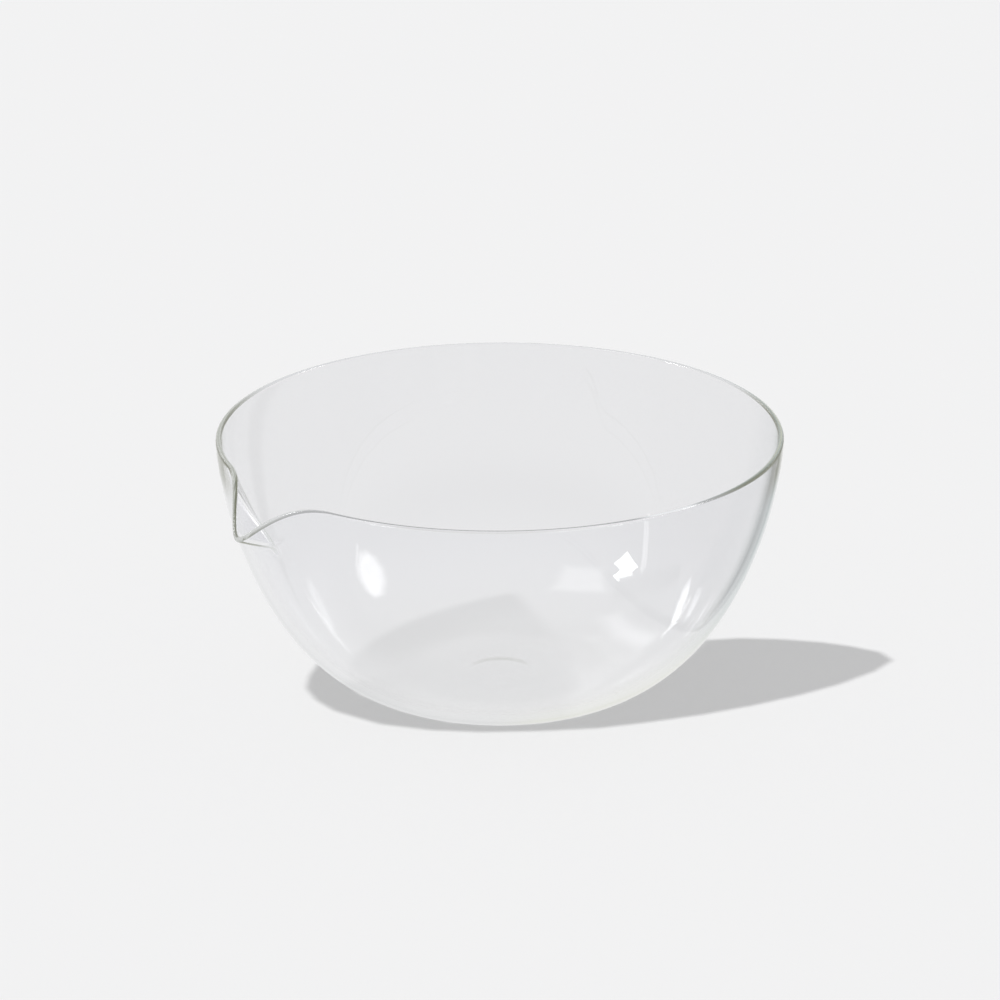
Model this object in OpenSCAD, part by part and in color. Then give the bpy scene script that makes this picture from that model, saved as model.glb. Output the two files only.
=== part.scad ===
// A small clear glass mixing bowl with a pouring lip, blown and pulled as one piece of glass.
// It stands on the table at height 0, its axis is Z, and the lip points along +X.

/* [Bowl] */
// Outside diameter of the rim
rim_d = 137; // [80:1:260]
// Height of the rim above the table
height = 65; // [40:0.5:130]
// Diameter of the flat foot
foot_d = 42; // [30:1:60]
// Lean of the wall at the rim, in degrees from upright
rim_lean = 2; // [0:1:12]

/* [Glass] */
// Thickness of the glass at the rim
rim_t = 1.4; // [1:0.1:2.4]
// Thickness of the glass in the floor
floor_t = 2.4; // [1.4:0.1:5]
// Diameter of the round mark under the floor
mark_d = 23; // [12:1:28]
// Depth of the round mark
mark_depth = 0.3; // [0.2:0.1:0.8]
// Width of the slope round the mark
mark_slope = 0.8; // [0.4:0.1:1.2]

/* [Pouring lip] */
// How far the tip of the lip reaches out past the rim
lip_reach = 8.5; // [3:0.5:14]
// How far the tip of the lip drops below the rim
lip_drop = 9.5; // [3:0.5:14]
// Width of the channel between its shoulders at the rim
lip_w = 42; // [30:1:60]
// Height from the root of the channel up to the tip of the lip
channel_rise = 4; // [4:0.5:14]
// Half width of the rounding along the keel of the channel
keel_round = 1.9; // [1.6:0.1:4]
// Half length of the bend where the channel leaves the wall
root_round = 2.5; // [2:0.5:4]

/* [Hidden] */
$fn = 144;

// The middle of the wall runs down one cubic curve, from the centre of the rim's edge to the foot
rim_r = rim_d / 2;
foot_r = foot_d / 2;
mark_r = mark_d / 2;
rim_end = [rim_r - rim_t / 2, height - rim_t / 2];
foot_end = [foot_r, floor_t / 2];
// How long the curve keeps the direction it has at each end, as shares of the height and of the step
// from the foot out to the rim
wall_reach_share = 0.23;
floor_reach_share = 0.73;
wall_reach = wall_reach_share * height;
floor_reach = floor_reach_share * (rim_r - foot_r);
curve = [
    rim_end,
    rim_end - wall_reach * [sin(rim_lean), cos(rim_lean)],
    foot_end + floor_reach * [1, 0],
    foot_end
];

// The lip's half angle seen from the axis, the rounding of its keel as an angle, and the channel's depth
lip_angle = asin(lip_w / 2 / rim_r);
keel_angle = keel_round / rim_r * 180 / PI;
channel_depth = lip_drop + channel_rise;
// How fast the reach and the drop fall away beside the keel, where 1 is a straight-sided V
reach_fall = 1.9;
drop_fall = 2.7;
// How fast the channel narrows towards its root, where 1 is a plain cone, and where that stops
narrowing = 0.8;
root_width_share = 0.12;

// Rows down the wall, columns across the lip and segments round the edge of the rim. The rows crowd
// together near the rim and the columns near the keel
rows = 24;
row_crowding = 1.25;
columns = 20;
column_crowding = 1.4;
edge_segments = 6;
// Small steps that give the slope of the surface, down the curve and in degrees round the bowl
slope_step = 0.001;
turn_step = 0.01;

function unit(v) = v / norm(v);

// A point on the curve, from 0 at the rim to 1 at the foot
function curve_point(t) = let (s = 1 - t)
    s * s * s * curve[0] + 3 * s * s * t * curve[1] + 3 * s * t * t * curve[2] + t * t * t * curve[3];

// Share of the lip's pull at a depth below the rim: straight to the root, with a soft bend there
function fade(depth) =
    depth >= channel_depth + root_round ? 0 :
    depth <= channel_depth - root_round ? 1 - depth / channel_depth :
    pow(channel_depth + root_round - depth, 2) / (4 * root_round * channel_depth);

// Share of the pull beside the keel, from 1 on the keel to 0 at the shoulder of the channel
function beside(a, width) =
    max(0, 1 - (norm([a, keel_angle]) - keel_angle) / (norm([width, keel_angle]) - keel_angle));

// The middle of the wall, at an angle from the lip and a place on the curve
function wall_point(a, t) = let (
        p = curve_point(t),
        pull = fade(rim_end[1] - p[1]),
        width = lip_angle * max(root_width_share, pow(pull, narrowing)),
        side = pull > 0 ? beside(a, width) : 0,
        r = p[0] + lip_reach * pull * pow(side, reach_fall),
        z = p[1] - lip_drop * pull * pow(side, drop_fall)
    ) [r * cos(a), r * sin(a), z];

// Directions on the wall: round the bowl, down the wall, and out of the glass
function along(a, t) = unit(wall_point(a + turn_step, t) - wall_point(a - turn_step, t));
function down(a, t) = unit(wall_point(a, t + slope_step) - wall_point(a, t - slope_step));
function out(a, t) = unit(cross(down(a, t), along(a, t)));

// Half the thickness of the glass, which grows evenly from the rim to the floor
function half_t(t) = (rim_t + (floor_t - rim_t) * t) / 2;

// The outer face (side 1) or the inner face (side -1), and the round edge that joins them at the rim
function face_point(a, t, side) = wall_point(a, t) + side * half_t(t) * out(a, t);
function edge_point(a, turn) = let (up = unit(cross(out(a, 0), along(a, 0))))
    wall_point(a, 0) + rim_t / 2 * (sin(turn) * up - cos(turn) * out(a, 0));
function flat_point(a, r, z) = [r * cos(a), r * sin(a), z];

// One cut through the glass: from the middle of the floor up the inside, over the rim and down to the mark
places = [for (i = [0 : rows]) pow(i / rows, row_crowding)];
function section(a) = concat(
    [flat_point(a, mark_r - mark_slope, floor_t), flat_point(a, mark_r, floor_t)],
    [for (i = [rows : -1 : 0]) face_point(a, places[i], -1)],
    [for (i = [1 : edge_segments - 1]) edge_point(a, 180 * i / edge_segments)],
    [for (i = [0 : rows]) face_point(a, places[i], 1)],
    [flat_point(a, mark_r, 0), flat_point(a, mark_r - mark_slope, mark_depth)]
);

// The round of the bowl, which has the same section at every angle outside the lip
module round_wall() {
    profile = [for (p = section(lip_angle)) [norm([p[0], p[1]]), p[2]]];
    rotate_extrude(angle = 360 - 2 * lip_angle, start = lip_angle)
        polygon(concat([[0, mark_depth], [0, floor_t]], profile));
}

// The sector that carries the lip, from the axis out to the tip
module lip_wall() {
    angles = [for (i = [0 : columns]) let (x = 2 * i / columns - 1)
        lip_angle * sign(x) * pow(abs(x), column_crowding)];
    count = len(section(lip_angle));
    floor_middle = count * (columns + 1);
    mark_middle = floor_middle + 1;
    points = concat([for (a = angles) each section(a)], [[0, 0, floor_t], [0, 0, mark_depth]]);
    skin = [for (c = [0 : columns - 1]) each [for (k = [0 : count - 2]) let (
            here = c * count + k, next = here + count
        ) each [[here, next + 1, here + 1], [here, next, next + 1]]]];
    middle = [for (c = [0 : columns - 1]) let (here = c * count, next = here + count)
        each [[floor_middle, next, here], [mark_middle, here + count - 1, next + count - 1]]];
    edge_start = rows + 2;
    first_side = concat(
        [[floor_middle, 0, count - 1, mark_middle]],
        [for (k = [0 : edge_start - 1]) [k, k + 1, count - 2 - k, count - 1 - k]],
        [[for (k = [edge_start : edge_start + edge_segments]) k]]
    );
    last_side = [for (face = first_side) [for (k = [len(face) - 1 : -1 : 0])
        face[k] < floor_middle ? face[k] + columns * count : face[k]]];
    polyhedron(points, concat(skin, middle, first_side, last_side));
}

// Wall, rim, lip and floor are one piece of glass
module bowl() {
    color([0.86, 0.89, 0.88, 0.35])
        union() {
            round_wall();
            lip_wall();
        }
}

bowl();
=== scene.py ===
import math

import bpy
from mathutils import Matrix, Vector


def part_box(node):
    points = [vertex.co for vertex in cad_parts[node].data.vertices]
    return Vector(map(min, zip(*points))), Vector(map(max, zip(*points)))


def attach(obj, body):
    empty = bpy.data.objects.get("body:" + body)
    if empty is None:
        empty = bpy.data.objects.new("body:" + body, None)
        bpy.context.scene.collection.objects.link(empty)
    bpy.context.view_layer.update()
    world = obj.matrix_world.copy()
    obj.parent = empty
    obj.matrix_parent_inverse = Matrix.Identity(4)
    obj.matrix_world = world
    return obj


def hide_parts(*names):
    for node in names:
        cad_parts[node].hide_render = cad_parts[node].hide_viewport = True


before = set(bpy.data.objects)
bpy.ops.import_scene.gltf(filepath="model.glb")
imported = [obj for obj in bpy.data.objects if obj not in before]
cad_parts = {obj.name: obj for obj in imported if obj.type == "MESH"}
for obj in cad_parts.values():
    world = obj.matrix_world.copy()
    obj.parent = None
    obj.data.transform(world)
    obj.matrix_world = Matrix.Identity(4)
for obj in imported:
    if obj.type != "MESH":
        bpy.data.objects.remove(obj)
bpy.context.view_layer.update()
low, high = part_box("bowl")

bl_info = {
    "name": "Glass batter bowl",
    "version": (1, 0, 0),
    "blender": (4, 5, 0),
    "location": "3D View > Sidebar > Bowl",
    "description": "A small clear glass mixing bowl with a pulled pouring lip, and a pale studio for it",
    "category": "Add Mesh",
}


# Node trees

class Value:
    """A number that a node tree works out. Python's operators on it add Math nodes to the tree."""

    def __init__(self, tree, socket):
        self.tree = tree
        self.socket = socket

    def math(self, operation, *others):
        """A Math node with this value first."""
        parts = dict(enumerate((self, *others)))
        return self.tree.add("ShaderNodeMath", parts, operation=operation)

    def math_after(self, operation, first):
        """A Math node with this value second."""
        return self.tree.add("ShaderNodeMath", {0: first, 1: self}, operation=operation)

    def __add__(self, other):
        return self.math("ADD", other)

    def __sub__(self, other):
        return self.math("SUBTRACT", other)

    def __mul__(self, other):
        return self.math("MULTIPLY", other)

    def __truediv__(self, other):
        return self.math("DIVIDE", other)

    def __pow__(self, other):
        return self.math("POWER", other)

    def __neg__(self):
        return self.math("MULTIPLY", -1.0)

    def __rsub__(self, other):
        return self.math_after("SUBTRACT", other)

    def __rtruediv__(self, other):
        return self.math_after("DIVIDE", other)

    def __rpow__(self, other):
        return self.math_after("POWER", other)

    __radd__ = __add__
    __rmul__ = __mul__

    def least(self, other):
        return self.math("MINIMUM", other)

    def most(self, other):
        return self.math("MAXIMUM", other)

    def within(self, lowest, highest):
        return self.most(lowest).least(highest)

    def sine(self):
        return self.math("SINE")

    def cosine(self):
        return self.math("COSINE")

    def root(self):
        return self.math("SQRT")

    def size(self):
        """The value without its sign."""
        return self.math("ABSOLUTE")


class Tree:
    """Adds nodes to one node tree and links them."""

    def __init__(self, block):
        self.block = block

    def add(self, kind, inputs=None, output=0, **settings):
        """One node of a kind: its settings first, then its inputs by name or place. Gives one output."""
        node = self.block.nodes.new(kind)
        for name, setting in settings.items():
            setattr(node, name, setting)
        for key, given in (inputs or {}).items():
            if isinstance(given, Value):
                self.block.links.new(given.socket, node.inputs[key])
            else:
                node.inputs[key].default_value = given
        return Value(self, node.outputs[output]) if len(node.outputs) else None

    def other(self, found, output):
        """Another output of the node that a value comes from."""
        return Value(self, found.socket.node.outputs[output])

    def vector(self, operation, *parts, output=0):
        return self.add("ShaderNodeVectorMath", dict(enumerate(parts)), output, operation=operation)

    def scaled(self, vector, factor):
        return self.add("ShaderNodeVectorMath", {0: vector, "Scale": factor}, operation="SCALE")

    def point(self, x, y, z):
        return self.add("ShaderNodeCombineXYZ", {0: x, 1: y, 2: z})

    def axes(self, vector):
        split = self.add("ShaderNodeSeparateXYZ", {0: vector})
        return split, self.other(split, 1), self.other(split, 2)

    def ease(self, value, start, end, first=0.0, last=1.0):
        """A smooth step from first to last while the value goes from start to end."""
        return self.add(
            "ShaderNodeMapRange",
            {"Value": value, "From Min": start, "From Max": end, "To Min": first, "To Max": last},
            interpolation_type="SMOOTHSTEP",
        )

    def mixed(self, factor, first, second):
        """A colour between two colours. The Mix node's colours are its sockets 6 and 7, and output 2."""
        shades = [given if isinstance(given, Value) else (*given, 1.0) for given in (first, second)]
        return self.add("ShaderNodeMix", {0: factor, 6: shades[0], 7: shades[1]}, 2, data_type="RGBA")


def bare_tree(owner):
    """The emptied node tree of a material or a world."""
    owner.use_nodes = True
    owner.node_tree.nodes.clear()
    return Tree(owner.node_tree)


# The camera of the photograph, and the way to it from the bowl

CAMERA_AT = Vector((0.69040, 0.92250, 0.47320))
CAMERA_AIM = Vector((0.0, 0.0, 0.0342))
AIM_ABOVE = math.radians(0.5774)
ROLL = math.radians(0.2376)
PICTURE_WIDTH = 1000
FOCAL_PIXELS = 5064.8
SENSOR_WIDTH = 0.036
TO_CAMERA = math.atan2(CAMERA_AT.y, CAMERA_AT.x)


# Sizes and colours that a user would change

LENGTH = {"subtype": "DISTANCE", "unit": "LENGTH"}
ANGLE = {"subtype": "ANGLE", "unit": "ROTATION"}
COLOUR = {"subtype": "COLOR", "size": 3, "min": 0.0, "max": 1.0}


class BowlSizes(bpy.types.PropertyGroup):
    rim_diameter: bpy.props.FloatProperty(
        name="Rim diameter", description="Outside diameter of the rim, without the lip",
        default=0.137, min=0.08, max=0.26, **LENGTH)
    height: bpy.props.FloatProperty(
        name="Height", description="Height of the rim above the table",
        default=round(high.z - low.z, 4), min=0.04, max=0.13, **LENGTH)
    foot_diameter: bpy.props.FloatProperty(
        name="Foot diameter", description="Diameter of the flat foot",
        default=0.042, min=0.03, max=0.06, **LENGTH)
    rim_lean: bpy.props.FloatProperty(
        name="Rim lean", description="Lean of the wall at the rim, from upright",
        default=math.radians(2), min=0.0, max=math.radians(12), **ANGLE)
    rim_thickness: bpy.props.FloatProperty(
        name="Rim thickness", description="Thickness of the glass at the rim",
        default=0.0014, min=0.001, max=0.0024, precision=4, **LENGTH)
    floor_thickness: bpy.props.FloatProperty(
        name="Floor thickness", description="Thickness of the glass in the floor",
        default=0.0024, min=0.0014, max=0.005, precision=4, **LENGTH)
    mark_diameter: bpy.props.FloatProperty(
        name="Mark diameter", description="Diameter of the round mark under the floor",
        default=0.023, min=0.012, max=0.028, **LENGTH)
    mark_depth: bpy.props.FloatProperty(
        name="Mark depth", description="Depth of the round mark under the floor",
        default=0.00017, min=0.0001, max=0.0008, precision=5, **LENGTH)
    mark_slope: bpy.props.FloatProperty(
        name="Mark slope", description="Width of the slope round the mark",
        default=0.0045, min=0.0004, max=0.005, precision=4, **LENGTH)
    thickness_wander: bpy.props.FloatProperty(
        name="Thickness wander", description="How far the inner face wanders, as on hand-worked glass",
        default=0.00003, min=0.0, max=0.0003, precision=5, **LENGTH)


class LipSizes(bpy.types.PropertyGroup):
    reach: bpy.props.FloatProperty(
        name="Reach", description="How far the tip of the lip reaches out past the rim",
        default=0.0085, min=0.003, max=0.014, precision=4, **LENGTH)
    drop: bpy.props.FloatProperty(
        name="Drop", description="How far the tip of the lip drops below the rim",
        default=0.0095, min=0.003, max=0.014, precision=4, **LENGTH)
    width: bpy.props.FloatProperty(
        name="Width", description="Width of the channel between its shoulders at the rim",
        default=0.042, min=0.03, max=0.06, **LENGTH)
    channel_rise: bpy.props.FloatProperty(
        name="Channel rise", description="Height from the root of the channel up to the tip of the lip",
        default=0.004, min=0.004, max=0.014, precision=4, **LENGTH)
    keel_rounding: bpy.props.FloatProperty(
        name="Keel rounding", description="Half width of the rounding along the keel of the channel",
        default=0.0019, min=0.0016, max=0.004, precision=4, **LENGTH)
    root_bend: bpy.props.FloatProperty(
        name="Root bend", description="Half length of the bend where the channel leaves the wall",
        default=0.0025, min=0.002, max=0.004, precision=4, **LENGTH)


class GlassLook(bpy.types.PropertyGroup):
    clear: bpy.props.FloatVectorProperty(
        name="Clear glass", description="Colour of the thin wall",
        default=(0.955, 0.956, 0.970), **COLOUR)
    # far_wall and shaded_side are painted shade: the glass is greyer away from the camera and at the
    # right edge
    far_wall: bpy.props.FloatVectorProperty(
        name="Far wall", description="Colour of the upper wall on the side away from the camera",
        default=(0.905, 0.905, 0.919), **COLOUR)
    shaded_side: bpy.props.FloatVectorProperty(
        name="Shaded side", description="Colour of the wall at the right edge of the camera's view",
        default=(0.865, 0.87, 0.885), **COLOUR)
    # The rim colour is painted shade on the rim's sides, in the glass and in its painted glow
    rim: bpy.props.FloatVectorProperty(
        name="Rim", description="Light that the melted rim shows on its duller sides",
        default=(0.25, 0.26, 0.20), **COLOUR)
    # The next colours are a painted glow in place of light led inside the wall; wall_shade is painted
    # shade
    wall_led: bpy.props.FloatVectorProperty(
        name="Wall edge", description="Light that the wall shows where it is seen edge on",
        default=(0.755, 0.76, 0.775), **COLOUR)
    wall_shade: bpy.props.FloatVectorProperty(
        name="Wall edge in shade", description="Light that the wall's edge shows on its duller side",
        default=(0.50, 0.56, 0.57), **COLOUR)
    foot_led: bpy.props.FloatVectorProperty(
        name="Foot edge", description="Light that the lower wall shows where it is seen edge on",
        default=(0.75, 0.76, 0.69), **COLOUR)
    led_after: bpy.props.IntProperty(
        name="Led after", description="How often light is mirrored before it shows as an even glow",
        default=2, min=0, max=3)
    foot: bpy.props.FloatVectorProperty(
        name="Foot", description="Colour of the thick glass at the foot",
        default=(0.965, 0.965, 0.962), **COLOUR)
    depth_colour: bpy.props.FloatVectorProperty(
        name="Depth colour", description="Colour that long ways through the glass turn to",
        default=(0.62, 0.68, 0.54), **COLOUR)
    depth_density: bpy.props.FloatProperty(
        name="Depth density", description="How fast the glass takes on its depth colour",
        default=6.0, min=0.0, max=200.0)
    let_through: bpy.props.FloatVectorProperty(
        name="Let through", description="Light for the paper that each face of the glass lets through",
        default=(0.99, 0.99, 0.99), **COLOUR)
    bending: bpy.props.FloatProperty(
        name="Bending", description="Refractive index of the glass",
        default=1.5, min=1.3, max=1.9)
    ripple: bpy.props.FloatProperty(
        name="Ripple", description="Height of the fine ripple left by the flame",
        default=0.000007, min=0.0, max=0.0003, precision=6, **LENGTH)


class StudioLook(bpy.types.PropertyGroup):
    ground: bpy.props.FloatVectorProperty(
        name="Ground", description="Colour of the ground and the backdrop as the camera sees them",
        default=(0.888, 0.888, 0.888), **COLOUR)
    key_share: bpy.props.FloatProperty(
        name="Key share", description="Share of the ground's light that comes from the key light",
        default=0.39, min=0.0, max=0.6, subtype="FACTOR")
    # inner_shade and side_shade set the painted shade on the ground that the glass shows
    inner_shade: bpy.props.FloatProperty(
        name="Inner shade", description="How dark the shade is that the ground shows through the glass",
        default=0.12, min=0.0, max=0.4, subtype="FACTOR")
    side_shade: bpy.props.FloatProperty(
        name="Side shade", description="How dark the ground is that the bowl's right edge mirrors",
        default=0.42, min=0.0, max=1.0, subtype="FACTOR")
    backdrop_height: bpy.props.FloatProperty(
        name="Backdrop height", description="How high the pale backdrop reaches above the horizon",
        default=math.radians(16), min=0.0, max=math.radians(80), **ANGLE)
    lens: bpy.props.FloatProperty(
        name="Lens", description="Focal length of the camera",
        default=round(SENSOR_WIDTH * FOCAL_PIXELS / PICTURE_WIDTH, 5), min=0.02, max=0.4, precision=5,
        subtype="DISTANCE_CAMERA", unit="CAMERA")


# The shape of the bowl

# How far the wall's curve holds the direction of its rim and of its floor
WALL_REACH_SHARE = 0.23
FLOOR_REACH_SHARE = 0.73
# How the lip's reach and drop fall off to the sides of its keel, and how its channel narrows downwards
REACH_FALL = 1.9
DROP_FALL = 2.7
NARROWING = 0.8
ROOT_WIDTH_SHARE = 0.12
# Points of the grid, and how they crowd beside the keel, towards the rim and at the mark's slope
COLUMNS = 450
ROWS = {"floor": 4, "inside": 76, "edge": 14, "outside": 76, "foot": 24}
KEEL_SPREAD = 0.22
RIM_CROWDING = 1.25
MARK_CROWDING = 2.2
# Small steps down the wall and round it, from which the wall's own directions follow
DOWN_STEP = 0.002
ROUND_STEP = 0.0004
# Points of the closed seam and of the poles that lie this near are one
MERGE_WITHIN = 1e-6
# Where the inner face starts to wander below the rim and stops above the floor, and how finely it wanders
WANDERS_FROM = (0.0, 0.06)
WANDERS_TO = (1.0, 0.9)
WANDER_PATTERN = {"Scale": 34.0, "Detail": 1.5, "Roughness": 0.45}
WANDER_SEED = 4.0
# The turn over the rim where the inside has ended, and the share of the foot where its own height begins
STILL_INSIDE = (0.1, 0.0)
UNDER_FOOT = (0.0, 0.01)


def named_inputs(tree, sizes):
    """Gives a tree its output and a named input for each size, and returns their values by name."""
    sockets = tree.block.interface
    sockets.new_socket("Geometry", in_out="OUTPUT", socket_type="NodeSocketGeometry")
    for name, size in sizes.items():
        sockets.new_socket(name, in_out="INPUT", socket_type="NodeSocketFloat").default_value = size
    source = tree.add("NodeGroupInput")
    return {name: tree.other(source, name) for name in sizes}


def on_curve(shares, stops):
    """A point of the wall's curve, from the shares that its four stops have in it."""
    return sum((share * stop for share, stop in zip(shares[1:], stops[1:])), shares[0] * stops[0])


def wall_middle(tree, s, angle, place):
    """The middle of the glass, at an angle from the lip and a place, 0 at the rim and 1 at the foot."""
    rest = 1 - place
    shares = (
        rest * rest * rest, 3 * rest * rest * place, 3 * rest * place * place, place * place * place,
    )
    rim_r = s["Rim Radius"] - s["Rim Thickness"] / 2
    rim_z = s["Height"] - s["Rim Thickness"] / 2
    foot_z = s["Floor Thickness"] / 2
    wall_reach = s["Height"] * WALL_REACH_SHARE
    floor_reach = (s["Rim Radius"] - s["Foot Radius"]) * FLOOR_REACH_SHARE
    radius = on_curve(shares, (
        rim_r,
        rim_r - wall_reach * s["Rim Lean"].sine(),
        s["Foot Radius"] + floor_reach,
        s["Foot Radius"],
    ))
    height = on_curve(shares, (rim_z, rim_z - wall_reach * s["Rim Lean"].cosine(), foot_z, foot_z))

    # The pull grows from nothing at the channel's root to 1 at the rim, with a soft bend at the root
    channel_depth = s["Lip Drop"] + s["Channel Rise"]
    root = s["Root Bend"]
    above_root = channel_depth - (rim_z - height)
    bend = above_root.most(-root).least(root) + root
    pull = (bend * bend / (4 * root) + (above_root - root).most(0.0)) / channel_depth

    # It is full on the keel, which is rounded, and ends at the channel's shoulders
    keel = s["Keel Rounding"] / s["Rim Radius"]
    half_width = (s["Lip Width"] / 2 / s["Rim Radius"]).math("ARCSINE")
    shoulder = half_width * (pull ** NARROWING).most(ROOT_WIDTH_SHARE)
    from_keel = (angle * angle + keel * keel).root() - keel
    to_shoulder = (shoulder * shoulder + keel * keel).root() - keel
    share = (1 - from_keel / to_shoulder).most(0.0)
    out = radius + s["Lip Reach"] * pull * share ** REACH_FALL
    up = height - s["Lip Drop"] * pull * share ** DROP_FALL
    return tree.point(out * angle.cosine(), out * angle.sine(), up)


def bowl_tree(sizes, material):
    """The tree that shapes the whole bowl from one flat grid.

    Columns go round the bowl. Rows go up the inside, over the rim, down the outside and across the foot.
    """
    group = bpy.data.node_groups.new("Bowl wall", "GeometryNodeTree")
    tree = Tree(group)
    s = named_inputs(tree, sizes)
    rows = sum(ROWS.values())
    grid = tree.add("GeometryNodeMeshGrid", {
        "Size X": 2.0, "Size Y": float(rows), "Vertices X": COLUMNS + 1, "Vertices Y": rows + 1,
    })
    across, down, _ = tree.axes(tree.add("GeometryNodeInputPosition"))
    row = (down + rows / 2).math("ROUND")
    angle = across * (KEEL_SPREAD + (1 - KEEL_SPREAD) * across.size()) * math.pi

    # The share of each stretch of the section that a row has passed
    passed, before = {}, 0
    for stretch, count in ROWS.items():
        passed[stretch] = ((row - before) / count).within(0.0, 1.0)
        before += count
    place = (1 - passed["inside"]) ** RIM_CROWDING + passed["outside"] ** RIM_CROWDING
    turn = passed["edge"] * math.pi

    middle = wall_middle(tree, s, angle, place)
    ends = [wall_middle(tree, s, angle, place + step) for step in (DOWN_STEP, -DOWN_STEP)]
    sides = [wall_middle(tree, s, angle + step, place) for step in (ROUND_STEP, -ROUND_STEP)]
    down_wall = tree.vector("SUBTRACT", *ends)
    along_wall = tree.vector("SUBTRACT", *sides)
    outward = tree.vector("NORMALIZE", tree.vector("CROSS_PRODUCT", down_wall, along_wall))
    upward = tree.vector("NORMALIZE", tree.vector("CROSS_PRODUCT", outward, along_wall))

    # The thickness grows evenly down to the floor, and the inner face wanders a little
    half = (s["Rim Thickness"] + (s["Floor Thickness"] - s["Rim Thickness"]) * place) / 2
    wander = tree.add("ShaderNodeTexNoise", {
        "Vector": middle, "W": s["Seed"], **WANDER_PATTERN,
    }, noise_dimensions="4D")
    free = tree.ease(place, *WANDERS_FROM) * tree.ease(place, *WANDERS_TO) * (1 - passed["edge"])
    inward = half + (wander - 0.5) * s["Thickness Wander"] * 2 * free * tree.ease(turn, *STILL_INSIDE)
    rise = tree.scaled(upward, turn.sine() * half)
    offset = tree.vector("SUBTRACT", rise, tree.scaled(outward, turn.cosine() * inward))
    x, y, z = tree.axes(tree.vector("ADD", middle, offset))

    # The flat floor inside, and the foot with its shallow round mark underneath
    way = passed["foot"] * 2 - 1
    slope_middle = s["Mark Radius"] - s["Mark Slope"] / 2
    outside_slope = (-way).most(0.0) ** MARK_CROWDING * (s["Foot Radius"] - slope_middle)
    inside_slope = way.most(0.0) ** MARK_CROWDING * slope_middle
    radius = slope_middle + outside_slope - inside_slope
    scale = passed["floor"] * radius / s["Foot Radius"]
    up_slope = ((s["Mark Radius"] - radius) / s["Mark Slope"]).within(0.0, 1.0)
    risen = s["Mark Depth"] * up_slope * up_slope * tree.ease(passed["foot"], *UNDER_FOOT)
    final = tree.point(x * scale, y * scale, z + risen)

    # The places are stored while the grid is still flat, because they follow from where its points lie
    shaped = grid
    for name, kept in (("place", place), ("edge", turn.sine())):
        shaped = tree.add(
            "GeometryNodeStoreNamedAttribute", {"Geometry": shaped, "Name": name, "Value": kept},
            data_type="FLOAT", domain="POINT",
        )
    shaped = tree.add("GeometryNodeSetPosition", {"Geometry": shaped, "Position": final})
    shaped = tree.add("GeometryNodeMergeByDistance", {"Geometry": shaped, "Distance": MERGE_WITHIN})
    shaped = tree.add("GeometryNodeFlipFaces", {"Mesh": shaped})
    shaped = tree.add("GeometryNodeSetShadeSmooth", {"Geometry": shaped, "Shade Smooth": True})
    shaped = tree.add("GeometryNodeRealizeInstances", {"Geometry": shaped})
    shaped = tree.add("GeometryNodeSetMaterial", {"Geometry": shaped, "Material": material})
    tree.add("NodeGroupOutput", {0: shaped})
    return group


# The glass

# Patterns in the glass: how fine each is, per metre, and how much detail it has
PATTERNS = {
    "cloud": {"Scale": 22.0, "Detail": 3.0, "Roughness": 0.5},
    "streaks": {"Scale": 45.0, "Detail": 2.0, "Roughness": 0.5},
    "smears": {"Scale": 60.0, "Detail": 4.0, "Roughness": 0.6, "Distortion": 0.6},
    "ripple": {"Scale": 70.0, "Detail": 2.0, "Roughness": 0.4},
    "drawn lines": {"Scale": 1.0, "Detail": 1.0, "Roughness": 0.3},
}
CLOUD_AMOUNT = 0.6
STREAKS_AMOUNT = 0.4
DRAWN_ACROSS = 26.0
DRAWN_UP = 420.0
DRAWN_HEIGHT = 0.15
SEEDS_SCALE = 95.0
SEED_EDGE = (0.055, 0.02)
SEED_HEIGHT = 0.8
# Where the smears show, how rough they are, and how rough the melted edge is
SMEARED = (0.45, 0.8)
SMEAR_ROUGHNESS = 0.012
EDGE_ROUGHNESS = 0.07

# Zones of the glass, from where each starts to where it is full. The rim is at 0 and the foot at 1
BELOW_EDGE = (0.0, 0.1)
BELOW_RIM = (0.10, 0.22)
ABOVE_FOOT = (0.75, 0.45)
UPPER_WALL = (0.8, 0.5)
SEEDED_WALL = (0.3, 0.7)
LOWER_WALL = (0.45, 0.75)
THICK_WALL = (0.55, 1.0)
FOOT_RING = (0.985, 0.999)
# Over the rim, 0 is either face of the wall and 1 the top of the melted edge
MELTED_EDGE = (0.0, 0.5)
# Towards the camera, 1 is the near side and -1 the far side
FAR_SIDE = (0.1, -0.3)
NEAR_SIDE = (-0.3, 0.2)
SHORT_OF_FAR = (-0.6, -0.2)
# Across the picture, -1 is the bowl's left edge and 1 its right edge
RIGHT_HALF = (0.2, 0.8)
RIGHT_SHARE = 0.7
RIGHT_EDGE = (0.93, 0.985)
GREY_SIDE = (0.5, 0.95)
CREAMY_SIDE = (-0.15, 0.35)
GLEAM_FROM = (0.48, 0.56)
GLEAM_TO = (0.74, 0.68)
# Where the painted shade on the rim's sides begins and where it is full
RIM_SHADE_MIDDLE = 0.02
RIM_SHADE_SIDES = (0.70, 0.90)
# Round the bowl, no way is worked out nearer to its axis than this
LEAST_RADIUS = 0.0001

# How bright some zones of the painted glow are, as shares of its colours
NEAR_RIM = 0.6
GLEAM = 1.2
LOW_LEFT = 0.92
UNDERSIDE = 0.66


def pattern(tree, name, where):
    return tree.add("ShaderNodeTexNoise", {"Vector": where, **PATTERNS[name]})


def uneven(tree, name, where, amount):
    """A share that wanders with a pattern round 1, by half this amount up and down."""
    return 1.0 - amount / 2 + amount * pattern(tree, name, where)


def dimmed(colour, share):
    return [share * part for part in colour]


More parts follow.
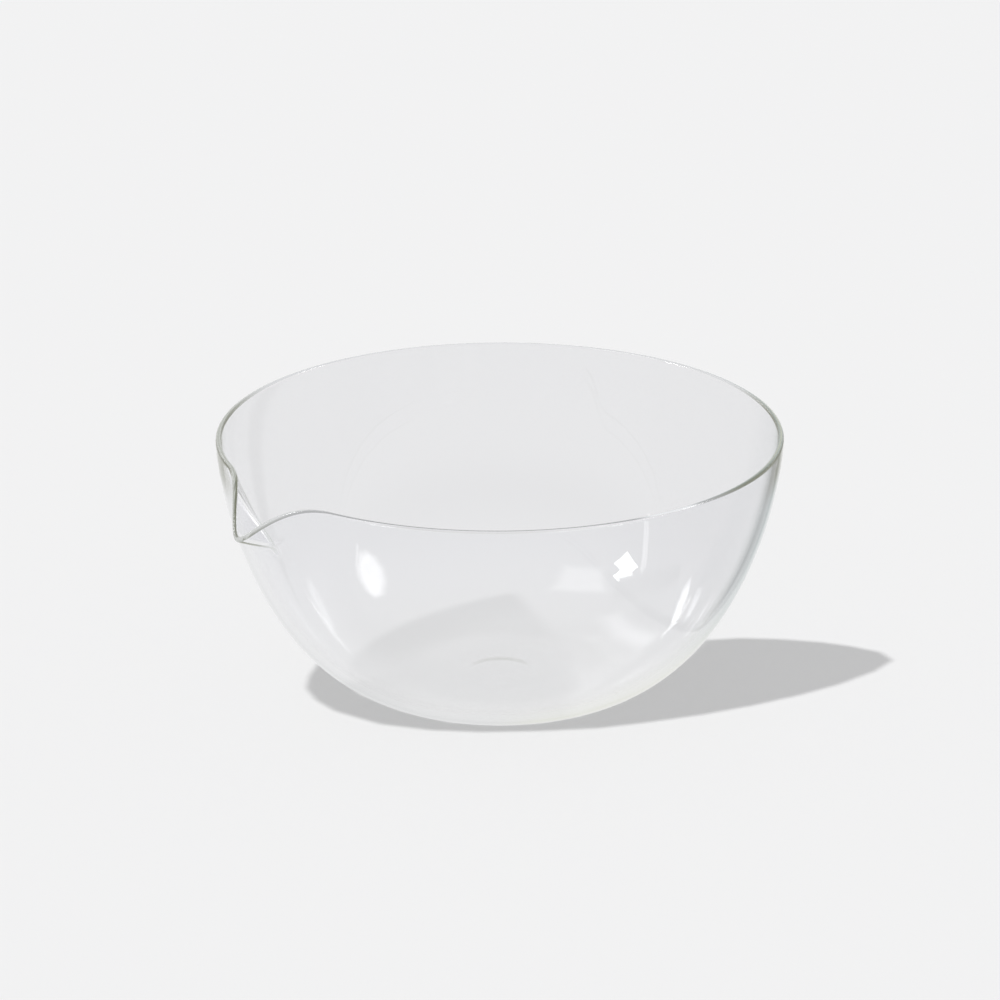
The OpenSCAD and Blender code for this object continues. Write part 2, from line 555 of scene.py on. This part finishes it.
class GlassPlaces:
    """Where a point of the glass lies down the wall, on the melted edge and round the bowl."""

    def __init__(self, tree):
        self.here = tree.add("ShaderNodeTexCoord", output="Object")
        self.place = tree.add("ShaderNodeAttribute", output="Fac", attribute_name="place")
        self.edge = tree.add("ShaderNodeAttribute", output="Fac", attribute_name="edge")
        x, y, z = tree.axes(self.here)
        out = (x * x + y * y).root().most(LEAST_RADIUS)
        self.ahead = (x * math.cos(TO_CAMERA) + y * math.sin(TO_CAMERA)) / out
        self.aside = (y * math.cos(TO_CAMERA) - x * math.sin(TO_CAMERA)) / out
        self.drawn = tree.point(x * DRAWN_ACROSS, y * DRAWN_ACROSS, z * DRAWN_UP)

        # The rim gets painted shade at both sides, as the camera sees them, and none in front and behind
        sides = tree.ease((self.aside - RIM_SHADE_MIDDLE).size(), *RIM_SHADE_SIDES)
        sides = sides * tree.ease(self.ahead, *SHORT_OF_FAR)
        self.painted_rim_shade = sides * uneven(tree, "streaks", self.here, STREAKS_AMOUNT)


def glass_colour(tree, at, look):
    """Clear; painted shade greys the far wall and the right edge and darkens the rim olive; clouded at
    the foot.
    """
    # Painted shade: the far wall and the right half are greyer, as the camera sees them
    far = tree.ease(at.ahead, *FAR_SIDE).most(RIGHT_SHARE * tree.ease(at.aside, *RIGHT_HALF))
    colour = tree.mixed(far * tree.ease(at.place, *ABOVE_FOOT), look.clear, look.far_wall)
    # Painted shade along the right edge of the camera's view
    shaded = tree.ease(at.aside, *RIGHT_EDGE) * tree.ease(at.place, *UPPER_WALL)
    colour = tree.mixed(shaded, colour, look.shaded_side)
    thick = tree.ease(at.place, *THICK_WALL) * uneven(tree, "cloud", at.here, CLOUD_AMOUNT)
    colour = tree.mixed(thick.within(0.0, 1.0), colour, look.foot)
    # Painted olive shade on the rim's sides, as the camera sees them
    # Light crosses two faces of the rim, so each takes the root of its colour
    tint = [math.sqrt(part) for part in look.rim]
    return tree.mixed(at.painted_rim_shade * tree.ease(at.edge, *MELTED_EDGE), colour, tint)


def glass_relief(tree, at, look):
    """Slow flame ripple, fine drawn lines round the wall, and small seeds near the foot."""
    ripple = pattern(tree, "ripple", at.here) - 0.5
    drawn = (pattern(tree, "drawn lines", at.drawn) - 0.5) * DRAWN_HEIGHT
    to_seed = tree.add("ShaderNodeTexVoronoi", {"Vector": at.here, "Scale": SEEDS_SCALE}, "Distance")
    seeds = tree.ease(to_seed, *SEED_EDGE) * SEED_HEIGHT * tree.ease(at.place, *SEEDED_WALL)
    height = ripple + drawn * tree.ease(at.place, *BELOW_EDGE) - seeds
    return tree.add("ShaderNodeBump", {"Height": height, "Distance": look.ripple, "Strength": 1.0})


def painted_led_glow(tree, at, look):
    """A painted glow for light led along the glass: olive at the rim, grey down the wall, creamier low
    down.
    """
    # Painted highlight and a painted darker line on the near rim
    gleam = tree.ease(at.aside, *GLEAM_FROM) * tree.ease(at.aside, *GLEAM_TO)
    near_rim = tree.mixed(gleam, dimmed(look.wall_led, NEAR_RIM), dimmed(look.wall_led, GLEAM))
    rim = tree.mixed(tree.ease(at.ahead, *NEAR_SIDE), look.wall_led, near_rim)
    # Painted olive shade at the rim's sides
    rim = tree.mixed(at.painted_rim_shade, rim, look.rim)
    # Painted shade: the glow is darker on the right of the wall, low at the left and under the foot
    wall = tree.mixed(tree.ease(at.aside, *GREY_SIDE), look.wall_led, look.wall_shade)
    lower = tree.mixed(tree.ease(at.aside, *CREAMY_SIDE), dimmed(look.wall_led, LOW_LEFT), look.foot_led)
    colour = tree.mixed(tree.ease(at.place, *BELOW_RIM), rim, wall)
    colour = tree.mixed(tree.ease(at.place, *LOWER_WALL), colour, lower)
    colour = tree.mixed(tree.ease(at.place, *FOOT_RING), colour, dimmed(look.foot_led, UNDERSIDE))
    return tree.add("ShaderNodeEmission", {"Color": colour})


def clear_glass(look):
    """Clear glass that bends light, with faint smears and ripple, and a faint colour in its depth."""
    material = bpy.data.materials.new("clear_glass")
    tree = bare_tree(material)
    at = GlassPlaces(tree)
    smears = tree.ease(pattern(tree, "smears", at.here), *SMEARED, 0.0, SMEAR_ROUGHNESS)
    glass = tree.add("ShaderNodeBsdfPrincipled", {
        "Base Color": glass_colour(tree, at, look),
        "Roughness": smears + EDGE_ROUGHNESS * at.edge,
        "Normal": glass_relief(tree, at, look),
        "IOR": look.bending,
        "Transmission Weight": 1.0,
    })

    # Light that has been mirrored inside the wall often enough shows a painted glow instead of the glass
    paths = tree.add("ShaderNodeLightPath", output="Is Diffuse Ray")
    led = tree.other(paths, "Glossy Depth").math("GREATER_THAN", look.led_after + 0.5)
    seen = tree.add("ShaderNodeMixShader", {0: led, 1: glass, 2: painted_led_glow(tree, at, look)})

    # Light on its way to the paper goes straight through, with a slight loss at each face
    through = tree.add("ShaderNodeBsdfTransparent", {"Color": (*look.let_through, 1.0)})
    surface = tree.add("ShaderNodeMixShader", {0: paths, 1: seen, 2: through})
    depth = tree.add("ShaderNodeVolumeAbsorption", {
        "Color": (*look.depth_colour, 1.0), "Density": look.depth_density,
    })
    tree.add("ShaderNodeOutputMaterial", {"Surface": surface, "Volume": depth})
    return material


class BOWL_OT_glass(bpy.types.Operator):
    """Make the bowl, one piece of glass with its pulled lip"""
    bl_idname = "batter_bowl.glass"
    bl_label = "Glass bowl"

    def execute(self, context):
        sizes, lip, look = context.scene.bowl_sizes, context.scene.lip_sizes, context.scene.glass_look
        values = {
            "Rim Radius": sizes.rim_diameter / 2,
            "Height": sizes.height,
            "Foot Radius": sizes.foot_diameter / 2,
            "Rim Lean": sizes.rim_lean,
            "Rim Thickness": sizes.rim_thickness,
            "Floor Thickness": sizes.floor_thickness,
            "Mark Radius": sizes.mark_diameter / 2,
            "Mark Depth": sizes.mark_depth,
            "Mark Slope": sizes.mark_slope,
            "Lip Reach": lip.reach,
            "Lip Drop": lip.drop,
            "Lip Width": lip.width,
            "Channel Rise": lip.channel_rise,
            "Keel Rounding": lip.keel_rounding,
            "Root Bend": lip.root_bend,
            "Thickness Wander": sizes.thickness_wander,
            "Seed": WANDER_SEED,
        }
        group = bowl_tree(values, clear_glass(look))
        bowl = bpy.data.objects.new("glass_bowl", bpy.data.meshes.new("glass_bowl"))
        context.scene.collection.objects.link(bowl)
        shaper = bowl.modifiers.new("Bowl wall", "NODES")
        shaper.node_group = group
        for item in group.interface.items_tree:
            if item.in_out == "INPUT":
                shaper[item.identifier] = values[item.name]
        context.view_layer.update()
        solved = bowl.evaluated_get(context.evaluated_depsgraph_get())
        mesh = bpy.data.meshes.new_from_object(solved)
        bowl.modifiers.clear()
        bowl.data = mesh
        mesh.name = "glass_bowl"
        if not mesh.polygons:
            raise RuntimeError("the bowl came out with no faces")
        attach(bowl, "root")
        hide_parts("bowl")
        return {"FINISHED"}


# The stage

# What the photograph's shadow covers, as pixels of its frame, which is as wide as high
SHADE_OUTLINE = [
    (306, 688), (316, 700), (335, 711), (380, 724), (430, 730), (480, 732), (540, 731), (600, 728),
    (650, 722), (700, 715), (750, 706), (800, 695), (840, 684), (875, 671), (893, 660), (880, 652),
    (850, 646), (820, 642), (780, 639), (740, 638), (705, 640), (690, 655), (660, 678), (620, 702),
    (580, 716), (540, 723), (500, 725), (450, 722), (400, 710), (360, 694), (330, 668), (318, 663),
    (309, 676),
]
FLAG_HEIGHT = 0.004

# The key light's way in degrees round from the camera's side and up, and how wide it looks
KEY_WAY = (0.0, 80.0)
KEY_WIDTH = 34.0

# The share of light that the paper gives back, how softly the backdrop ends, as a sine of height, and
# how much more blue than red the ceiling's light has
PAPER = 0.85
BACKDROP_FADE = 0.3
CEILING_BLUE = 1.01

# The paper lies a hair under the foot, and the glowing ground with painted shade that the glass shows
# lies between them
GROUND_HALF = 30.0
PAPER_DEPTH = 0.00002
SEEN_DEPTH = 0.00001

# The painted shade on the ground that the glass shows, in metres to the right of the foot's middle and
# towards the camera: its middle, its soft edge, its paler heart, and its right end, which leans left
# further back
SHADE_MIDDLE = (0.032, 0.014)
SHADE_EDGE = (0.0755, 0.0710)
SHADE_HEART = (0.048, 0.070)
HEART_SHARE = 0.45
SHADE_END = 0.018
END_SOFTNESS = (0.003, -0.003)
END_LEANS_BEHIND = 0.013
END_LEAN = 0.35

# The painted dark side spreads back from this point beside the bowl, between two slants
DARK_SIDE_FROM = (0.064, 0.012)
DARK_SIDE_STARTS = (0.28, 0.44)
DARK_SIDE_ENDS = (1.05, 0.7)
LEAST_DISTANCE = 0.005

# What the glass mirrors of the studio: a brightness, how much of the outline fades, and its corners, in
# degrees round from the camera's side with the picture's right positive, and degrees up
MIRRORED = {
    "right_window": (6.0, 0.45, [
        (90, 36), (89, 40), (93, 45), (102, 48), (115, 48), (119, 45), (114, 41), (107, 37), (101, 35),
        (94, 34)]),
    "left_window": (14.0, 0.02, [
        (-87, 38), (-94, 38), (-101, 37), (-101, 40.5), (-109, 39.5), (-106, 42), (-103, 43),
        (-107, 46.5), (-97.5, 48.5), (-95, 44.5), (-88, 45.5), (-87.5, 41.5)]),
    "sill": (6.0, 0.2, [(-107, 45.5), (-106.5, 43.5), (-109.5, 42.5), (-110, 44)]),
    "curtain": (0.35, 0.3, [(-101, 48), (-106, 33), (-119, 18), (-125, 19), (-120, 37), (-119, 50)]),
    "ceiling_window": (2.6, 0.4, [(-65, 62), (-87, 51), (-112, 53), (-105, 73)]),
    "left_tube": (4.2, 0.2, [
        (-132, 12.6), (-140, 11.8), (-144, 12.4), (-149.5, 12.0), (-149, 14.6), (-145, 15.8),
        (-140, 16.6), (-134, 16.0)]),
    "far_left_tube": (2.4, 0.3, [
        (-142, 7.0), (-145, 4.2), (-149, 3.2), (-154, 3.0), (-152, 6.4), (-146, 7.6)]),
    "gap": (3.0, 0.1, [
        (-82, 23), (-88, 26), (-95, 30), (-104, 34), (-109, 37.5), (-107, 38), (-97, 34), (-89, 30),
        (-82, 24)]),
    "right_gap": (3.0, 0.2, [(91, 31), (101, 34.5), (102, 35.5), (92, 32)]),
    "low_glow": (1.9, 0.8, [
        (-143, 49), (-136, 46), (-144, 37), (-149, 27), (-153, 17), (-159, 22), (-159, 34), (-154, 42)]),
    "right_tube": (1.8, 0.6, [
        (131, 13), (136, 10.4), (142, 11.2), (148, 12.8), (151, 13.6), (149, 16.8), (142, 17.6),
        (135, 16.8)]),
}
CARD_DISTANCE = 20.0

# Mirrored light from these leaves through the wall, and from the others through the open mouth
SEEN_THROUGH_WALL = ("curtain", "left_tube", "far_left_tube", "low_glow", "right_tube")


def turned(first, second, angle):
    """Two square directions, turned in their plane by an angle, from the first towards the second."""
    ahead, aside = math.cos(angle), math.sin(angle)
    return first * ahead + second * aside, second * ahead - first * aside


def camera_matrix():
    """The photograph's view: aimed a little above the middle of the bowl and rolled a touch."""
    forward = (CAMERA_AIM - CAMERA_AT).normalized()
    right = forward.cross(Vector((0, 0, 1))).normalized()
    up = right.cross(forward)
    forward, up = turned(forward, up, AIM_ABOVE)
    right, up = turned(right, up, -ROLL)
    facing = Matrix((right, up, -forward)).transposed().to_4x4()
    return Matrix.Translation(CAMERA_AT) @ facing


def direction(side, height):
    """The way to a point of the studio, from degrees round from the camera's side and degrees up."""
    turn, up = TO_CAMERA + math.radians(side), math.radians(height)
    return Vector((math.cos(turn) * math.cos(up), math.sin(turn) * math.cos(up), math.sin(up)))


def floor_point(x, y):
    """Where a pixel of the photograph lies on the table."""
    middle = PICTURE_WIDTH / 2
    across, up = (x - middle) / FOCAL_PIXELS, (middle - y) / FOCAL_PIXELS
    ray = camera_matrix().to_3x3() @ Vector((across, up, -1.0))
    return CAMERA_AT - ray * (CAMERA_AT.z / ray.z)


def placed(name, data):
    """A new object in the scene."""
    made = bpy.data.objects.new(name, data)
    bpy.context.scene.collection.objects.link(made)
    return made


def hide_from(made, *rays):
    """Keeps an object out of some kinds of rays."""
    for kind in rays:
        setattr(made, "visible_" + kind, False)


def flat_sheet(name, points):
    """A flat sheet with these corners."""
    mesh = bpy.data.meshes.new(name)
    mesh.from_pydata([tuple(point) for point in points], [], [list(range(len(points)))])
    return placed(name, mesh)


def ground_sheet(name, depth, material):
    """A wide level sheet a little below the table's height."""
    sides = [(-1, -1), (1, -1), (1, 1), (-1, 1)]
    made = flat_sheet(name, [(x * GROUND_HALF, y * GROUND_HALF, -depth) for x, y in sides])
    made.data.materials.append(material)
    return made


def pale_paper():
    """Dull pale paper, which shows only the light that falls on it."""
    material = bpy.data.materials.new("pale_ground")
    tree = bare_tree(material)
    paper = tree.add("ShaderNodeBsdfPrincipled", {
        "Base Color": (PAPER, PAPER, PAPER, 1.0), "Roughness": 1.0, "Specular IOR Level": 0.0,
    })
    tree.add("ShaderNodeOutputMaterial", {"Surface": paper})
    return material


def painted_seen_ground(look):
    """The ground as the glass shows it: glowing, as bright as the paper, with a painted soft shade to the
    left.

    A painted dark side, beside the bowl's right edge, shows only in light that has been mirrored.
    """
    material = bpy.data.materials.new("painted_seen_ground")
    tree = bare_tree(material)
    here = tree.add("ShaderNodeTexCoord", output="Object")
    near = tree.vector("DOT_PRODUCT", here, direction(0.0, 0.0), output="Value")
    right = tree.vector("DOT_PRODUCT", here, direction(90.0, 0.0), output="Value")

    # Painted soft shade round the left of the foot
    across, along = right - SHADE_MIDDLE[0], near - SHADE_MIDDLE[1]
    away = (across * across + along * along).root()
    past_end = right - SHADE_END - END_LEAN * (near + END_LEANS_BEHIND).least(0.0)
    shade = tree.ease(away, *SHADE_EDGE) * tree.ease(past_end, *END_SOFTNESS)
    shade = shade * tree.ease(away, *SHADE_HEART, HEART_SHARE, 1.0)

    # Painted dark side, shown only in mirrored light
    slant = (right - DARK_SIDE_FROM[0]) / (DARK_SIDE_FROM[1] - near).most(LEAST_DISTANCE)
    mirrored = tree.add("ShaderNodeLightPath", output="Glossy Depth").least(1.0)
    dark_side = tree.ease(slant, *DARK_SIDE_STARTS) * tree.ease(slant, *DARK_SIDE_ENDS) * mirrored

    strength = (1.0 - shade * look.inner_shade) * (1.0 - dark_side * look.side_shade)
    light = tree.add("ShaderNodeEmission", {"Color": (*look.ground, 1.0), "Strength": strength})
    tree.add("ShaderNodeOutputMaterial", {"Surface": light})
    return material


def overhead_share(edge):
    """The share of the paper's light from above the backdrop, whose edge is given as a sine of height."""
    steps = 200
    heights = [(k + 0.5) / steps for k in range(steps)]
    eased = [min(1.0, max(0.0, (height - edge) / BACKDROP_FADE)) for height in heights]
    return sum(2 * height * e * e * (3 - 2 * e) for height, e in zip(heights, eased)) / steps


def studio_world(look):
    """The backdrop's light low down and a duller ceiling, which leave the key light its share."""
    world = bpy.data.worlds.new("studio")
    tree = bare_tree(world)
    world.cycles.sampling_method = "NONE"
    _, _, z = tree.axes(tree.add("ShaderNodeTexCoord", output="Generated"))
    edge = math.sin(look.backdrop_height)
    overhead = overhead_share(edge)
    soft_light = look.ground[0] / PAPER * (1 - look.key_share)
    ceiling = (soft_light - look.ground[0] * (1 - overhead)) / overhead
    above = tree.ease(z, edge, edge + BACKDROP_FADE)
    light = tree.mixed(above, look.ground, (ceiling, ceiling, ceiling * CEILING_BLUE))
    background = tree.add("ShaderNodeBackground", {"Color": light, "Strength": 1.0})
    tree.add("ShaderNodeOutputWorld", {"Surface": background})
    return world


def key_light(paper_light):
    """A far light that gives level white paper this much light, and that the glass doesn't show."""
    way = direction(*KEY_WAY)
    lamp = bpy.data.lights.new("key", "SUN")
    lamp.energy = math.pi * paper_light / way.z
    lamp.angle = math.radians(KEY_WIDTH)
    lamp.cycles.use_multiple_importance_sampling = False
    key = placed("key", lamp)
    key.rotation_euler = way.to_track_quat("Z", "Y").to_euler()
    hide_from(key, "glossy", "transmission")
    return key


def shade_flag():
    """A flag between the key light and the ground, where it casts the photograph's shadow."""
    way = direction(*KEY_WAY)
    lift = way * (FLAG_HEIGHT / way.z)
    flag = flat_sheet("shade_flag", [floor_point(x, y) + lift for x, y in SHADE_OUTLINE])
    hide_from(flag, "camera", "diffuse", "glossy", "transmission", "volume_scatter")
    return flag


def faded_outline(corners, fade):
    """Each corner of a far outline, as a point inside and a point outside between which it fades."""
    points = [direction(*corner) * CARD_DISTANCE for corner in corners]
    middle = sum(points, Vector()) / len(points)
    width = min((point - middle).length for point in points) * fade
    inward = []
    for before, point, after in zip(points[-1:] + points[:-1], points, points[1:] + points[:1]):
        inward.append((after - before).cross(point).normalized())
    if sum(way.dot(middle - point) for way, point in zip(inward, points)) < 0:
        width = -width
    return [point + way * width * side for point, way in zip(points, inward) for side in (1, -1)]


def card_light(name, brightness):
    """The light of a card, full where its points are marked as shown."""
    material = bpy.data.materials.new(name)
    tree = bare_tree(material)
    share = tree.ease(tree.add("ShaderNodeAttribute", output="Fac", attribute_name="shown"), 0.0, 1.0)
    light = tree.add("ShaderNodeEmission", {"Strength": brightness})
    clear = tree.add("ShaderNodeBsdfTransparent")
    surface = tree.add("ShaderNodeMixShader", {0: share, 1: clear, 2: light})
    tree.add("ShaderNodeOutputMaterial", {"Surface": surface})
    return material


def mirrored_card(name, brightness, fade, corners):
    """A flat light far off, which only the glass shows."""
    points = faded_outline(corners, fade)
    count = len(points)
    faces = [list(range(0, count, 2))]
    faces += [(k, (k + 2) % count, (k + 3) % count, k + 1) for k in range(0, count, 2)]
    mesh = bpy.data.meshes.new(name)
    mesh.from_pydata([tuple(point) for point in points], [], faces)
    shown = mesh.attributes.new("shown", "FLOAT", "POINT")
    for k in range(count):
        shown.data[k].value = 1.0 - k % 2
    mesh.materials.append(card_light(name, brightness))
    card = placed(name, mesh)
    hide_from(card, "camera", "diffuse", "shadow", "volume_scatter")
    card.visible_transmission = name in SEEN_THROUGH_WALL


def photo_camera(look):
    """The camera of the photograph. Its lens and sensor are given to Blender in millimetres."""
    lens = bpy.data.cameras.new("camera")
    lens.lens = look.lens * 1000
    lens.sensor_width = SENSOR_WIDTH * 1000
    lens.clip_start, lens.clip_end = 0.01, 100.0
    camera = placed("camera", lens)
    camera.matrix_world = camera_matrix()
    return camera


class BOWL_OT_stage(bpy.types.Operator):
    """Make the pale ground, the soft studio light and the camera"""
    bl_idname = "batter_bowl.stage"
    bl_label = "Stage"

    def execute(self, context):
        scene, look = context.scene, context.scene.studio_look
        scene.view_settings.view_transform = "Standard"
        scene.view_settings.look = "None"

        ground = ground_sheet("ground", PAPER_DEPTH, pale_paper())
        hide_from(ground, "glossy", "transmission")
        scene.world = studio_world(look)

        # Only the flag shades the paper from the key light, and no other ray meets it
        flags = bpy.data.collections.new("flags")
        flags.objects.link(shade_flag())
        key = key_light(look.ground[0] / PAPER * look.key_share)
        key.light_linking.blocker_collection = flags

        # A glowing sheet with painted shade, seen only by the glass, stands in for the ground
        sheet = ground_sheet("painted_seen_ground", SEEN_DEPTH, painted_seen_ground(look))
        hide_from(sheet, "camera", "diffuse", "shadow", "volume_scatter")

        for name, (brightness, fade, corners) in MIRRORED.items():
            mirrored_card(name, brightness, fade, corners)

        scene.camera = photo_camera(look)
        return {"FINISHED"}


class BOWL_PT_panel(bpy.types.Panel):
    """Sizes, colours and pieces of the bowl"""
    bl_idname = "BOWL_PT_panel"
    bl_label = "Batter bowl"
    bl_space_type = "VIEW_3D"
    bl_region_type = "UI"
    bl_category = "Bowl"

    def draw(self, context):
        for operator in (BOWL_OT_glass, BOWL_OT_stage):
            self.layout.operator(operator.bl_idname, text=operator.bl_label)
        for title, group in (
            ("Bowl", context.scene.bowl_sizes), ("Pouring lip", context.scene.lip_sizes),
            ("Glass", context.scene.glass_look), ("Studio", context.scene.studio_look),
        ):
            box = self.layout.box()
            box.label(text=title)
            for name in type(group).__annotations__:
                box.prop(group, name)


GROUPS = {
    "bowl_sizes": BowlSizes,
    "lip_sizes": LipSizes,
    "glass_look": GlassLook,
    "studio_look": StudioLook,
}
CLASSES = (*GROUPS.values(), BOWL_OT_glass, BOWL_OT_stage, BOWL_PT_panel)


def register():
    for made in CLASSES:
        bpy.utils.register_class(made)
    for name, group in GROUPS.items():
        setattr(bpy.types.Scene, name, bpy.props.PointerProperty(type=group))


def unregister():
    for name in GROUPS:
        delattr(bpy.types.Scene, name)
    for made in reversed(CLASSES):
        bpy.utils.unregister_class(made)


def main():
    register()
    bpy.ops.batter_bowl.stage()
    bpy.ops.batter_bowl.glass()


if __name__ == "__main__":
    main()
